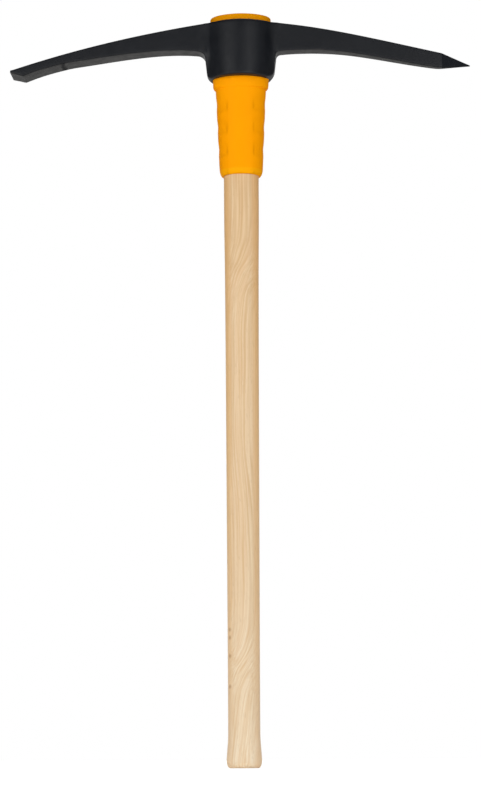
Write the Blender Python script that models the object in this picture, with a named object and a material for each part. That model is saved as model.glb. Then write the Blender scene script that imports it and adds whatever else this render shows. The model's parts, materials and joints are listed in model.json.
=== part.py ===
"""A clay pick: a forged double-armed head, slip-fitted on a wooden handle with a moulded collar.

The handle stands along +Z with its butt on the origin. The head lies along X, with the chisel
blade at -X and the point at +X. All sizes are metres.
"""

import math
from dataclasses import dataclass

import bmesh
import bpy

# Fits between the pieces
EYE_FIT_GAP = 0.0003        # collar to the wall of the eye
MOULD_GAP = 0.0003          # wood to the inside of the collar

# Wooden handle, from the butt up
HANDLE_LENGTH = 0.9144      # butt to the rim of the collar, a 36 inch handle
BUTT_FLAT = 0.0040          # how far the flat end lies inside the butt's widest outline
BUTT_ROUND = 0.0090         # height of the rounding under the widest place
BUTT_WIDTH = 0.0421
BUTT_DEPTH = 0.0366
SHANK_Z = 0.042             # butt to the thinnest place
SHANK_WIDTH = 0.0380
SHANK_DEPTH = 0.0330
MIDDLE_WIDTH = 0.0393
MIDDLE_DEPTH = 0.0338
UPPER_BELOW = 0.124         # end of the collar down to where the wood starts to thicken
UPPER_WIDTH = 0.0411
UPPER_DEPTH = 0.0346
NECK_BELOW = 0.039          # end of the collar down to the full thickness under it
NECK_WIDTH = 0.0427
NECK_DEPTH = 0.0352
WOOD_OVAL = 2.15            # power of the handle's oval, 2 is an ellipse
WOOD_RECESS = 0.0010        # end grain below the rim of the collar
WOOD_EDGE = 0.0010          # broken edge at the top of the wood

# Eye of the head, a tapered pointed oval that narrows towards the butt
EYE_LENGTH_TOP = 0.0752
EYE_WIDTH_TOP = 0.0508
EYE_LENGTH_BOTTOM = 0.0695
EYE_WIDTH_BOTTOM = 0.0460
EYE_OVAL = 1.92
EYE_MOUTH_BREAK = 0.0005    # chamfer at both mouths of the eye

# Boss round the eye
BOSS_HEIGHT = 0.0706
END_WALL_BOTTOM = 0.0060    # wall at the two ends of the eye
END_WALL_SHOULDER = 0.0082
END_WALL_TOP = 0.0064
SIDE_WALL_BOTTOM = 0.0104   # wall at the front and the back of the eye
SIDE_WALL_TOP = 0.0060
SHOULDER_DROP = 0.0446      # top of the boss down to where its ends stop flaring
BOSS_STRAIGHT = 0.86        # share of its half length where its oval sides turn straight
BOSS_END_FLAT = 0.0045      # half width of the blunt end of the boss
BOSS_LOWER_EDGE = 0.0024
BOSS_UPPER_EDGE = 0.0036
BLEND_TOP = 0.0200          # how softly the arms' faces run into the boss, from the top down
BLEND_WAIST = 0.0070
BLEND_BOTTOM = 0.0040
BLEND_WAIST_DROP = 0.0180   # top of the boss down to where they meet most sharply
GUSSET_START = 0.0070       # beyond the end of the boss, where the arms' faces start to swell
GUSSET_LENGTH = 0.0150

# Blade, the arm at -X with a chisel edge across it. Drops are from the top of the boss
BLADE_REACH = 0.2832        # centre line of the eye to the cutting edge
BLADE_END_DROP = 0.0571
EDGE_THICKNESS = 0.0030
BEVEL_LENGTH = 0.0160       # ground bevel under the edge
BEVEL_SLOPE = 0.270
BLADE_NECK = 0.0735         # edge back to the shallow crease across the underside
BLADE_NECK_DROP = 0.0474
BLADE_NECK_SLOPES = (0.125, 0.225)
BLADE_ROOT_DROP = 0.0362
BLADE_TOP_SLOPES = (0.155, 0.335)
BLADE_UNDER_SLOPES = (-0.130, 0.430)
BLADE_ROOT_WIDTH = 0.0245
BLADE_MIDDLE_WIDTH = 0.0288
BLADE_HEEL_WIDTH = 0.0330
BLADE_EDGE_WIDTH = 0.0338
BLADE_EDGE_RADIUS = 0.0018
BLADE_CROTCH = 0.0110
BLADE_CORNER = 0.0080       # bottom corner of the boss under this arm
BLADE_BLEND = 0.0060        # how softly its face runs into the boss at the underside
BLADE_GUSSET = 0.0042       # how far its face swells there

# Point, the arm at +X, ground to a square pyramid at its end
POINT_REACH = 0.2812
POINT_END_DROP = 0.0562
TIP_SIZE = 0.0012           # blunt tip, both ways
TIP_TOP_FACET = 0.0342
TIP_TOP_SLOPE = 0.450
TIP_UNDER_FACET = 0.0392
TIP_UNDER_SLOPE = 0.050
POINT_NECK = 0.1382
POINT_NECK_DROP = 0.0406
POINT_NECK_SLOPES = (0.169, 0.169)
POINT_ROOT_DROP = 0.0366
POINT_TOP_SLOPES = (0.100, 0.224)
POINT_UNDER_SLOPES = (-0.090, 0.150)
POINT_ROOT_WIDTH = 0.0212
POINT_MIDDLE_WIDTH = 0.0168
POINT_FACET_WIDTH = 0.0106
POINT_EDGE_RADIUS = 0.0016
POINT_CROTCH = 0.0060
POINT_CORNER = 0.0118       # bottom corner of the boss under this arm
POINT_BLEND = 0.0100        # how softly its face runs into the boss at the underside
POINT_GUSSET = 0.0006       # how far its face swells there

# Guard collar, from its rim down
RIM_PROUD = 0.0082          # rim above the head
RIM_ROUND = 0.0020
COLLAR_LENGTH = 0.2004
LIP_LENGTH = 0.0076         # band that shows under the head
STEP_HEIGHT = 0.0050        # rounded shoulder under that band
STEP_IN_X = 0.0031
STEP_IN_Y = 0.0010
EYE_WALL = 0.0050           # collar wall in the eye
NECK_WALL = 0.0040          # collar wall under the step
END_WALL = 0.0045           # collar wall at its lower end
END_ROUND = 0.0095          # height of the rolled lower rim
END_LAND = 0.0008           # flat that is left at the lower rim
NOTCH_COUNT = 3
NOTCH_DEPTH = 0.00075
NOTCH_ABOVE = 0.0125        # long easy slope above each finger notch
NOTCH_BELOW = 0.0055        # short slope below it
NOTCH_FIRST = 0.1108        # rim down to the first notch
NOTCH_PITCH = 0.0283
PANEL_EDGE = 0.50           # smooth front panel, as a share of the half width at its edge
PANEL_BLEND = 0.20

# Resolution of the meshes
AROUND = 48                 # points round the handle and the collar
ROUND_STEPS = 6             # rings in a large rounding
SHANK_RINGS = 9
NECK_RINGS = 5
NOTCH_RINGS = 28            # rings along the grip of the collar
EDGE_STEPS = 3              # along each rounded edge of the head
WALK_STEPS = 5              # on the flat between those edges, twice
CROTCH_STEPS = 8
CORNER_STEPS = 6
FLANK_STEPS = 5             # down the end of the boss
MIDDLE_STEPS = 6            # from the bottom corner to the middle of the boss
FACET_STEPS = 4
NECK_STEPS = 7
ARM_STEPS = 13
EDGE_SHARE = 0.35           # most of a short side that one rounded edge may take
WALK_SHARE = 0.2            # least of it between an edge and the split of the walk
SHARP_ANGLE = 28            # degrees


@dataclass
class Arm:
    """One arm of the head. Distances are from the eye's centre line, drops from the top."""

    side: int               # -1 towards -X, 1 towards +X
    reach: float            # eye's centre line to the end of the arm
    end_drop: float         # top of the cutting edge or point
    end_thickness: float    # metal left there, top to bottom
    top_facet: float        # length of the ground facet on top
    top_facet_slope: float
    under_facet: float      # length of the ground facet underneath
    under_facet_slope: float
    neck: float             # end of the arm back to where its end was drawn out thinner
    neck_drop: float        # the underside there
    neck_slopes: tuple      # slopes of the underside on the boss side and on the end side
    root_drop: float        # the underside at the boss
    top_slopes: tuple       # slopes of the top line at the boss and at its facet
    under_slopes: tuple     # slopes of the underside at the boss and at its facet
    widths: tuple           # along Y: at the boss, halfway, at the facet and at the end
    edge_radius: float      # rounding along the arm's edges
    crotch_radius: float    # under the arm, where it meets the boss
    corner_radius: float    # bottom corner of the boss on this side
    blend: float            # how softly its face runs into the boss at the underside
    gusset: float           # how far its face swells there


BLADE = Arm(
    side=-1, reach=BLADE_REACH, end_drop=BLADE_END_DROP, end_thickness=EDGE_THICKNESS,
    top_facet=0.0, top_facet_slope=0.0,
    under_facet=BEVEL_LENGTH, under_facet_slope=BEVEL_SLOPE,
    neck=BLADE_NECK, neck_drop=BLADE_NECK_DROP, neck_slopes=BLADE_NECK_SLOPES,
    root_drop=BLADE_ROOT_DROP, top_slopes=BLADE_TOP_SLOPES, under_slopes=BLADE_UNDER_SLOPES,
    widths=(BLADE_ROOT_WIDTH, BLADE_MIDDLE_WIDTH, BLADE_HEEL_WIDTH, BLADE_EDGE_WIDTH),
    edge_radius=BLADE_EDGE_RADIUS, crotch_radius=BLADE_CROTCH, corner_radius=BLADE_CORNER,
    blend=BLADE_BLEND, gusset=BLADE_GUSSET,
)
POINT = Arm(
    side=1, reach=POINT_REACH, end_drop=POINT_END_DROP, end_thickness=TIP_SIZE,
    top_facet=TIP_TOP_FACET, top_facet_slope=TIP_TOP_SLOPE,
    under_facet=TIP_UNDER_FACET, under_facet_slope=TIP_UNDER_SLOPE,
    neck=POINT_NECK, neck_drop=POINT_NECK_DROP, neck_slopes=POINT_NECK_SLOPES,
    root_drop=POINT_ROOT_DROP, top_slopes=POINT_TOP_SLOPES, under_slopes=POINT_UNDER_SLOPES,
    widths=(POINT_ROOT_WIDTH, POINT_MIDDLE_WIDTH, POINT_FACET_WIDTH, TIP_SIZE),
    edge_radius=POINT_EDGE_RADIUS, crotch_radius=POINT_CROTCH, corner_radius=POINT_CORNER,
    blend=POINT_BLEND, gusset=POINT_GUSSET,
)

STEEL = ("forged_steel_black", (0.024, 0.024, 0.025), 0.5, 0.55)
WOOD = ("hickory", (0.77, 0.59, 0.38), 0.0, 0.5)
POLYMER = ("collar_polymer", (1.0, 0.38, 0.003), 0.0, 0.42)


def clear_scene():
    """Remove the objects that a new scene starts with."""
    for item in list(bpy.data.objects):
        bpy.data.objects.remove(item, do_unlink=True)


def mix(first, last, share):
    """Straight mix of two values."""
    return first + (last - first) * share


def ease(share):
    """Smooth step from 0 to 1, level at both ends."""
    share = min(max(share, 0.0), 1.0)
    return share * share * (3.0 - 2.0 * share)


def even(first, last, count):
    """Values from first to last in equal steps."""
    return [mix(first, last, index / (count - 1)) for index in range(count)]


def quarter(steps):
    """Angles of a quarter turn in equal steps, in radians."""
    return even(0.0, math.pi / 2, steps + 1)


def soft_max(first, second, blend):
    """The larger of two values, rounded where they cross."""
    overlap = max(blend - abs(first - second), 0.0)
    return max(first, second) + overlap * overlap / (4.0 * blend)


def arch(share, rise, slopes, span):
    """A curve that climbs by rise over span, with a given slope at each end."""
    start, end = slopes[0] * span, slopes[1] * span
    cube, square = share ** 3, share ** 2
    return ((cube - 2 * square + share) * start + (3 * square - 2 * cube) * rise
            + (cube - square) * end)


def fair_curve(points, at):
    """Height at a place on a smooth curve through points, without overshoot."""
    places = [point[0] for point in points]
    if at <= places[0]:
        return points[0][1]
    if at >= places[-1]:
        return points[-1][1]
    index = max(i for i, place in enumerate(places) if place <= at)
    steps = [b[0] - a[0] for a, b in zip(points, points[1:])]
    rises = [(b[1] - a[1]) / step for a, b, step in zip(points, points[1:], steps)]

    def tangent(i):
        if i == 0 or i == len(points) - 1:
            return rises[min(i, len(rises) - 1)]
        before, after = rises[i - 1], rises[i]
        if before * after <= 0:
            return 0.0
        heavy, light = 2 * steps[i] + steps[i - 1], steps[i] + 2 * steps[i - 1]
        return (heavy + light) / (heavy / before + light / after)

    step = steps[index]
    share = (at - places[index]) / step
    rise = points[index + 1][1] - points[index][1]
    slopes = (tangent(index), tangent(index + 1))
    return points[index][1] + arch(share, rise, slopes, step)


def oval(half_x, half_y, height, power, waist=None):
    """Ring of points on a level oval; waist gives how far each point is drawn in."""
    ring = []
    for index in range(AROUND):
        angle = 2 * math.pi * (index + 0.5) / AROUND
        along = math.copysign(abs(math.cos(angle)) ** (2 / power), math.cos(angle))
        across = math.copysign(abs(math.sin(angle)) ** (2 / power), math.sin(angle))
        inset = waist(along) if waist else 0.0
        ring.append(((half_x - inset) * along, (half_y - inset) * across, height))
    return ring


def add_object(name, mesh, finish, parent=None):
    """Put a mesh in the scene under its name, with its material."""
    item = bpy.data.objects.new(name, mesh)
    bpy.context.scene.collection.objects.link(item)
    item.parent = parent
    label, colour, metallic, roughness = finish
    material = bpy.data.materials.get(label) or bpy.data.materials.new(label)
    material.use_nodes = True
    shader = material.node_tree.nodes["Principled BSDF"]
    shader.inputs["Base Color"].default_value = (*colour, 1.0)
    shader.inputs["Metallic"].default_value = metallic
    shader.inputs["Roughness"].default_value = roughness
    mesh.materials.append(material)
    return item


def loft(name, rings, closed=False):
    """Skin a row of rings with quads, and cap the ends or join them in a loop."""
    work = bmesh.new()
    rows = [[work.verts.new(point) for point in ring] for ring in rings]
    pairs = list(zip(rows, rows[1:]))
    if closed:
        pairs.append((rows[-1], rows[0]))
    count = len(rows[0])
    for lower, upper in pairs:
        for index in range(count):
            after = (index + 1) % count
            work.faces.new((lower[index], lower[after], upper[after], upper[index]))
    if not closed:
        work.faces.new(list(reversed(rows[0])))
        work.faces.new(rows[-1])
    bmesh.ops.recalc_face_normals(work, faces=work.faces)
    mesh = bpy.data.meshes.new(name)
    work.to_mesh(mesh)
    work.free()
    mesh.shade_smooth()
    mesh.set_sharp_from_angle(angle=math.radians(SHARP_ANGLE))
    return mesh


# Heights that the pieces share
EYE_TOP_Z = HANDLE_LENGTH - RIM_PROUD
EYE_BOTTOM_Z = EYE_TOP_Z - BOSS_HEIGHT
LIP_Z = EYE_BOTTOM_Z - LIP_LENGTH
STEP_Z = LIP_Z - STEP_HEIGHT
COLLAR_END_Z = HANDLE_LENGTH - COLLAR_LENGTH
UPPER_Z = COLLAR_END_Z - UPPER_BELOW
NECK_Z = COLLAR_END_Z - NECK_BELOW
MIDDLE_Z = (SHANK_Z + UPPER_Z) / 2


def eye_half(height):
    """Half length and half width of the tapered eye at a height."""
    share = (height - EYE_BOTTOM_Z) / BOSS_HEIGHT
    return (mix(EYE_LENGTH_BOTTOM, EYE_LENGTH_TOP, share) / 2,
            mix(EYE_WIDTH_BOTTOM, EYE_WIDTH_TOP, share) / 2)


def collar_in_eye(height):
    """Outer half sizes of the collar where it follows the taper of the eye."""
    length, width = eye_half(height)
    return length - EYE_FIT_GAP, width - EYE_FIT_GAP


def collar_neck(height):
    """Outer half sizes of the collar below its step, a straight draft down to its end."""
    lip_x, lip_y = collar_in_eye(LIP_Z)
    reserve = MOULD_GAP + END_WALL
    share = (height - COLLAR_END_Z) / (STEP_Z - COLLAR_END_Z)
    return (mix(NECK_WIDTH / 2 + reserve, lip_x - STEP_IN_X, share),
            mix(NECK_DEPTH / 2 + reserve, lip_y - STEP_IN_Y, share))


def wood_stations(axis):
    """Half sizes of the wood along one axis, as pairs of height and half size."""
    shank = ((BUTT_ROUND, BUTT_WIDTH, BUTT_DEPTH), (SHANK_Z, SHANK_WIDTH, SHANK_DEPTH),
             (MIDDLE_Z, MIDDLE_WIDTH, MIDDLE_DEPTH), (UPPER_Z, UPPER_WIDTH, UPPER_DEPTH),
             (NECK_Z, NECK_WIDTH, NECK_DEPTH), (COLLAR_END_Z, NECK_WIDTH, NECK_DEPTH))
    stations = [(row[0], row[1 + axis] / 2) for row in shank]
    stations.append((STEP_Z, collar_neck(STEP_Z)[axis] - NECK_WALL - MOULD_GAP))
    for height in (EYE_BOTTOM_Z, HANDLE_LENGTH):
        stations.append((height, collar_in_eye(height)[axis] - EYE_WALL - MOULD_GAP))
    return stations


def wood_half(height):
    """Half width and half depth of the wood at a height."""
    return tuple(fair_curve(wood_stations(axis), height) for axis in (0, 1))


def wood_ring(height, inset=0.0):
    """Ring on the wood's surface, drawn in by inset or let out where that is negative."""
    half_x, half_y = wood_half(height)
    share = ease((height - STEP_Z) / (EYE_TOP_Z - STEP_Z))
    return oval(half_x - inset, half_y - inset, height, mix(WOOD_OVAL, EYE_OVAL, share))


def build_handle():
    """The wooden handle: a knob at the butt, a long shank and a swelling for the eye."""
    rings = []
    for turn in quarter(ROUND_STEPS):
        rings.append(wood_ring(BUTT_ROUND, BUTT_FLAT * (1 - math.sin(turn))))
        rings[-1] = [(x, y, BUTT_ROUND * (1 - math.cos(turn))) for x, y, _ in rings[-1]]
    heights = even(BUTT_ROUND, SHANK_Z, ROUND_STEPS + 2)[1:]
    heights += even(SHANK_Z, UPPER_Z, SHANK_RINGS + 1)[1:]
    heights += even(UPPER_Z, COLLAR_END_Z, NECK_RINGS + 1)[1:]
    heights += even(COLLAR_END_Z, STEP_Z, NECK_RINGS + 1)[1:]
    wood_top = HANDLE_LENGTH - WOOD_RECESS
    heights += even(STEP_Z, wood_top - WOOD_EDGE, NECK_RINGS + 1)[1:]
    rings += [wood_ring(height) for height in heights]
    last = wood_ring(wood_top - WOOD_EDGE, WOOD_EDGE)
    rings.append([(x, y, wood_top) for x, y, _ in last])
    return add_object("handle", loft("handle", rings), WOOD)


def notch_at(height):
    """How deep the finger notches are at a height, from 0 to 1."""
    deepest = 0.0
    for index in range(NOTCH_COUNT):
        centre = HANDLE_LENGTH - NOTCH_FIRST - index * NOTCH_PITCH
        away = height - centre
        reach = NOTCH_ABOVE if away > 0 else NOTCH_BELOW
        deepest = max(deepest, ease(1 - abs(away) / reach))
    return deepest


def collar_outline():
    """Outer rings of the collar from its lower rim up: height, half sizes and notch."""
    rows = []
    roll = END_WALL - END_LAND
    for turn in quarter(ROUND_STEPS):
        height = COLLAR_END_Z + END_ROUND * (1 - math.cos(turn))
        half_x, half_y = collar_neck(height)
        inset = roll * (1 - math.sin(turn))
        rows.append((height, half_x - inset, half_y - inset, 0.0))
    for height in even(COLLAR_END_Z + END_ROUND, STEP_Z, NOTCH_RINGS + 1)[1:]:
        rows.append((height, *collar_neck(height), notch_at(height)))
    neck = collar_neck(STEP_Z)
    lip = collar_in_eye(LIP_Z)
    for turn in quarter(ROUND_STEPS)[1:]:
        share = math.sin(turn)
        height = STEP_Z + STEP_HEIGHT * (1 - math.cos(turn))
        rows.append((height, mix(neck[0], lip[0], share), mix(neck[1], lip[1], share), 0.0))
    for height in (EYE_BOTTOM_Z, EYE_TOP_Z, HANDLE_LENGTH - RIM_ROUND):
        rows.append((height, *collar_in_eye(height), 0.0))
    half_x, half_y = collar_in_eye(HANDLE_LENGTH - RIM_ROUND)
    for turn in quarter(EDGE_STEPS)[1:]:
        inset = RIM_ROUND * (1 - math.cos(turn))
        height = HANDLE_LENGTH - RIM_ROUND * (1 - math.sin(turn))
        rows.append((height, half_x - inset, half_y - inset, 0.0))
    return rows


def build_collar(handle):
    """The moulded guard collar: a sleeve that fills the eye, steps in and grips the neck."""
    rings = []
    for height, half_x, half_y, notch in collar_outline():
        share = ease((height - COLLAR_END_Z) / (EYE_BOTTOM_Z - COLLAR_END_Z))
        power = mix(WOOD_OVAL, EYE_OVAL, share)

        def waist(along, notch=notch):
            return NOTCH_DEPTH * notch * ease((abs(along) - PANEL_EDGE) / PANEL_BLEND)

        rings.append(oval(half_x, half_y, height, power, waist))
    heights = even(COLLAR_END_Z, STEP_Z, NECK_RINGS + 1)[:-1]
    heights += even(STEP_Z, HANDLE_LENGTH, NECK_RINGS + 1)
    rings += [wood_ring(height, -MOULD_GAP) for height in reversed(heights)]
    return add_object("guard_collar", loft("guard_collar", rings, closed=True), POLYMER, handle)


def boss_end(drop):
    """Half length of the boss at a depth below its top."""
    length, _ = eye_half(EYE_TOP_Z - drop)
    walls = ((0.0, END_WALL_TOP), (SHOULDER_DROP, END_WALL_SHOULDER),
             (BOSS_HEIGHT, END_WALL_BOTTOM))
    return length + fair_curve(walls, drop)


def boss_depth(drop):
    """Half depth of the boss at a depth below its top."""
    _, width = eye_half(EYE_TOP_Z - drop)
    return width + mix(SIDE_WALL_TOP, SIDE_WALL_BOTTOM, drop / BOSS_HEIGHT)


def oval_side(share):
    """Half thickness of an oval of size 1 at a share of its half length."""
    return (1 - share ** EYE_OVAL) ** (1 / EYE_OVAL)


def boss_half(x, drop):
    """Half thickness along Y of the boss at a place seen from the front.

    It is an oval whose sides run straight on near its blunt ends, and past them below zero.
    """
    depth = boss_depth(drop)
    turn = oval_side(BOSS_STRAIGHT)
    slope = (BOSS_STRAIGHT / turn) ** (EYE_OVAL - 1)
    whole = BOSS_STRAIGHT + (turn - BOSS_END_FLAT / depth) / slope
    share = abs(x) * whole / boss_end(drop)
    if share > BOSS_STRAIGHT:
        return depth * (turn - (share - BOSS_STRAIGHT) * slope)
    return depth * oval_side(share)


def blend_at(arm, drop):
    """How softly an arm's face runs into the boss at a depth below the top of the boss."""
    return fair_curve(((0.0, BLEND_TOP), (BLEND_WAIST_DROP, BLEND_WAIST),
                       (arm.root_drop, arm.blend), (BOSS_HEIGHT, BLEND_BOTTOM)), drop)


def gusset_at(arm, x, drop):
    """How far an arm's face swells towards the boss, most of all at its underside."""
    nearness = ease((boss_end(SHOULDER_DROP) + GUSSET_START - abs(x)) / GUSSET_LENGTH)
    return arm.gusset * nearness * min(drop / arm.root_drop, 1.0) ** 3


def drop_between(first, last, slopes, distance):
    """Drop at a distance on a curve between two places, each a distance and a drop."""
    span = last[0] - first[0]
    share = max((distance - first[0]) / span, 0.0)
    return first[1] + arch(share, last[1] - first[1], slopes, span)


def arm_top(arm, distance):
    """Depth of an arm's top line below the top of the boss."""
    facet = (arm.reach - arm.top_facet, arm.end_drop - arm.top_facet * arm.top_facet_slope)
    if distance > facet[0]:
        return facet[1] + (distance - facet[0]) * arm.top_facet_slope
    return drop_between((boss_end(0.0), 0.0), facet, arm.top_slopes, distance)


def arm_under(arm, distance):
    """Depth of an arm's underside below the top of the boss."""
    root = (boss_end(SHOULDER_DROP), arm.root_drop)
    neck = (arm.reach - arm.neck, arm.neck_drop)
    end = arm.end_drop + arm.end_thickness
    heel = (arm.reach - arm.under_facet, end + arm.under_facet * arm.under_facet_slope)
    if distance > heel[0]:
        return heel[1] - (distance - heel[0]) * arm.under_facet_slope
    if distance > neck[0]:
        return drop_between(neck, heel, (arm.neck_slopes[1], arm.under_slopes[1]), distance)
    return drop_between(root, neck, (arm.under_slopes[0], arm.neck_slopes[0]), distance)


def arm_width(arm, distance):
    """Width of an arm along Y."""
    root, heel = boss_end(SHOULDER_DROP), arm.reach - arm.under_facet
    places = (root, (root + heel) / 2, heel, arm.reach)
    return fair_curve(tuple(zip(places, arm.widths)), distance)


def head_half(arm, x, drop):
    """Half thickness along Y of the head at a place seen from the front."""
    bar = arm_width(arm, abs(x)) / 2 + gusset_at(arm, x, drop)
    if abs(x) > crotch_start(arm):
        return bar
    lowness = ease((drop - arm.root_drop) / (BOSS_HEIGHT - arm.root_drop))
    rib = mix(bar, BOSS_END_FLAT, lowness)
    return soft_max(boss_half(x, drop), rib, blend_at(arm, drop))


def rounded_corner(before, corner, after, radius, steps):
    """Points on an arc that rounds the corner between two straight lines."""
    arms = []
    for other in (before, after):
        length = math.dist(corner, other)
        arms.append(((other[0] - corner[0]) / length, (other[1] - corner[1]) / length, length))
    cosine = arms[0][0] * arms[1][0] + arms[0][1] * arms[1][1]
    half = math.acos(max(-1.0, min(1.0, cosine))) / 2
    back = min(radius / math.tan(half), arms[0][2], arms[1][2])
    start = [corner[i] + arms[0][i] * back for i in (0, 1)]
    end = [corner[i] + arms[1][i] * back for i in (0, 1)]
    middle = [(arms[0][i] + arms[1][i]) for i in (0, 1)]
    scale = (back / math.cos(half)) / math.hypot(*middle)
    centre = [corner[i] + middle[i] * scale for i in (0, 1)]
    first = math.atan2(start[1] - centre[1], start[0] - centre[0])
    turn = math.atan2(end[1] - centre[1], end[0] - centre[0]) - first
    turn = (turn + math.pi) % (2 * math.pi) - math.pi
    size = math.dist(start, centre)
    angles = [first + turn * index / steps for index in range(steps + 1)]
    return [(centre[0] + size * math.cos(a), centre[1] + size * math.sin(a)) for a in angles]


def crotch_start(arm):
    """Distance at which the arm's underside starts to turn down the boss."""
    return boss_end(SHOULDER_DROP) + 2 * arm.crotch_radius


def boss_flank(arm):
    """Outline from the arm's underside down the end of the boss, as distance and drop."""
    shoulder = (boss_end(SHOULDER_DROP), arm.root_drop)
    foot = (boss_end(BOSS_HEIGHT), BOSS_HEIGHT)
    arm_side = (crotch_start(arm), arm_under(arm, crotch_start(arm)))
    inward = (foot[0] / 2, BOSS_HEIGHT)
    crotch = rounded_corner(arm_side, shoulder, foot, arm.crotch_radius, CROTCH_STEPS)
    corner = rounded_corner(shoulder, foot, inward, arm.corner_radius, CORNER_STEPS)
    upper, lower = crotch[-1], corner[0]
    side = [(mix(upper[0], lower[0], share), mix(upper[1], lower[1], share))
            for share in even(0, 1, FLANK_STEPS + 1)[1:-1]]
    return crotch + side + corner


def arm_stations(arm):
    """Pairs of underside and top points along an arm, from its end to the boss."""
    heel, neck, root = arm.reach - arm.under_facet, arm.reach - arm.neck, boss_flank(arm)[0][0]
    spots = even(arm.reach, heel, FACET_STEPS + 1)
    spots += even(heel, neck, NECK_STEPS + 1)[1:] + even(neck, root, ARM_STEPS + 1)[1:-1]
    if arm.top_facet:
        spots.append(arm.reach - arm.top_facet)
    spots.sort(reverse=True)
    return [((spot, arm_under(arm, spot)), (spot, arm_top(arm, spot))) for spot in spots]


def boss_stations(arm):
    """Pairs of underside and top points from the arm's root to the middle of the boss."""
    flank = boss_flank(arm)
    lengths = [0.0]
    for before, after in zip(flank, flank[1:]):
        lengths.append(lengths[-1] + math.dist(before, after))
    outer, inner = flank[0][0], flank[-1][0]
    pairs = []
    for point, length in zip(flank, lengths):
        distance = mix(outer, inner, length / lengths[-1])
        pairs.append((point, (distance, arm_top(arm, distance))))
    for distance in even(inner, 0.0, MIDDLE_STEPS + 1)[1:-1]:
        pairs.append(((distance, BOSS_HEIGHT), (distance, 0.0)))
    return pairs


def head_ring(arm, under, top):
    """Closed ring round the head, through one underside point and one top point."""
    length = math.dist(under, top)
    lowness = ease((under[1] - arm.root_drop) / (BOSS_HEIGHT - arm.root_drop))
    lower = min(mix(arm.edge_radius, BOSS_LOWER_EDGE, lowness), EDGE_SHARE * length)
    in_boss = ease((boss_end(0.0) + arm.crotch_radius - top[0]) / (2 * arm.crotch_radius))
    upper = min(mix(arm.edge_radius, BOSS_UPPER_EDGE, in_boss), EDGE_SHARE * length)
    spare = WALK_SHARE * length
    split = mix(length / 2, under[1] - arm.root_drop - arm.crotch_radius / 2, lowness)
    split = min(max(split, lower + spare), length - upper - spare)
    walk = even(lower, split, WALK_STEPS)[1:-1] + even(split, length - upper, WALK_STEPS)[:-1]

    def spot(travel):
        share = travel / length
        return mix(under[0], top[0], share), mix(under[1], top[1], share)

    def half_at(travel):
        x, drop = spot(travel)
        return head_half(arm, x, drop)

    profile = []
    turns = quarter(EDGE_STEPS)
    low_half, high_half = half_at(lower), half_at(length - upper)
    low_round, high_round = min(lower, low_half / 2), min(upper, high_half / 2)
    for turn in turns:
        half = low_half - low_round * (1 - math.sin(turn))
        profile.append((lower * (1 - math.cos(turn)), half))
    profile += [(travel, half_at(travel)) for travel in walk]
    for turn in turns:
        half = high_half - high_round * (1 - math.cos(turn))
        profile.append((length - upper * (1 - math.sin(turn)), half))
    front = [(spot(travel), -half) for travel, half in profile]
    back = [(place, -half) for place, half in reversed(front)]
    return [(arm.side * place[0], half, -place[1]) for place, half in front + back]


def eye_cutter(parent):
    """The tapered eye with a small chamfer at each mouth, as a cutter."""
    stations = ((EYE_BOTTOM_Z - EYE_MOUTH_BREAK, 2 * EYE_MOUTH_BREAK),
                (EYE_BOTTOM_Z + EYE_MOUTH_BREAK, 0.0),
                (EYE_TOP_Z - EYE_MOUTH_BREAK, 0.0),
                (EYE_TOP_Z + EYE_MOUTH_BREAK, 2 * EYE_MOUTH_BREAK))
    rings = []
    for height, flare in stations:
        half_x, half_y = eye_half(height)
        rings.append(oval(half_x + flare, half_y + flare, height - EYE_TOP_Z, EYE_OVAL))
    cutter = add_object("eye_cutter", loft("eye_cutter", rings), STEEL, parent)
    cutter.hide_render = True
    cutter.display_type = "WIRE"
    return cutter


def build_head():
    """The forged head, hung from the top of its boss, with the tapered eye cut through it."""
    blade = arm_stations(BLADE) + boss_stations(BLADE)
    point = arm_stations(POINT) + boss_stations(POINT)
    rings = [head_ring(BLADE, *pair) for pair in blade]
    rings.append(head_ring(POINT, (0.0, BOSS_HEIGHT), (0.0, 0.0)))
    rings += [head_ring(POINT, *pair) for pair in reversed(point)]
    head = add_object("pick_head", loft("pick_head", rings), STEEL)
    head.location = (0.0, 0.0, EYE_TOP_Z)
    cut = head.modifiers.new("eye", "BOOLEAN")
    cut.operation = "DIFFERENCE"
    cut.solver = "EXACT"
    cut.object = eye_cutter(head)
    return head


def main():
    """Build the pick."""
    clear_scene()
    handle = build_handle()
    build_collar(handle)
    build_head()


main()
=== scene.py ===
"""Looks of a clay pick: forged steel head, hickory handle and moulded guard collar.

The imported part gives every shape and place. Each piece here is a finer working of one of its
nodes, dressed in a material of its own, on a pale floor under soft studio light. Lengths are
metres, +Z runs up the handle and +X points from the eye to the point of the head.
"""

from __future__ import annotations

import json
import logging
import math
from dataclasses import dataclass
from enum import Enum

import bpy
from mathutils import Matrix, Vector

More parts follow.
